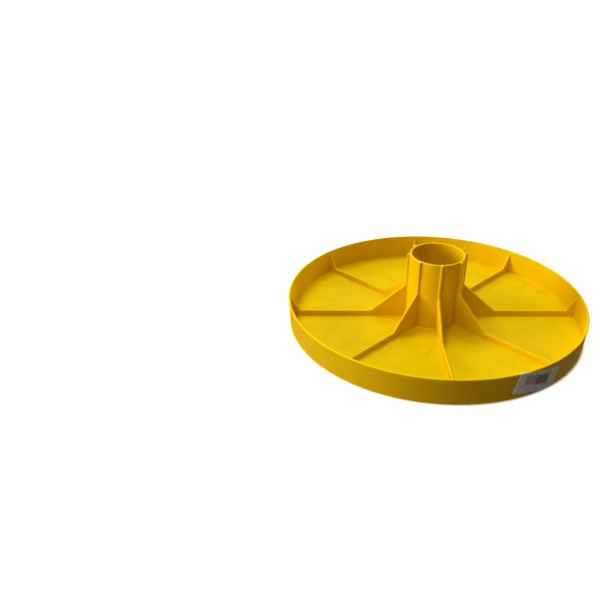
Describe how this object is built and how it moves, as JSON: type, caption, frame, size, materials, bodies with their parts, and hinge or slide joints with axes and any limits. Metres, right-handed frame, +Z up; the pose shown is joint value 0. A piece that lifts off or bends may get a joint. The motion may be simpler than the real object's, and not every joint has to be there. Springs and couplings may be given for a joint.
{
  "type": "bird water dish",
  "caption": "Round one-piece plastic water dish for birds: a shallow tray with radial ribs and a tall pipe socket in its middle, fed through a small hole low in the socket's wall.",
  "frame": {"origin": "middle of the underside, on the surface that the dish stands on", "axes": "+Z up along the socket's axis; +X, +Y and the directions halfway between them each run along a rib"},
  "size_m": [0.3, 0.3, 0.073],
  "materials": {
    "yellow_plastic": "soft gloss as moulded, with faint scuffs and flow marks on the floor"
  },
  "bodies": {
    "root": {"dish": "yellow_plastic"}
  },
  "joints": []
}
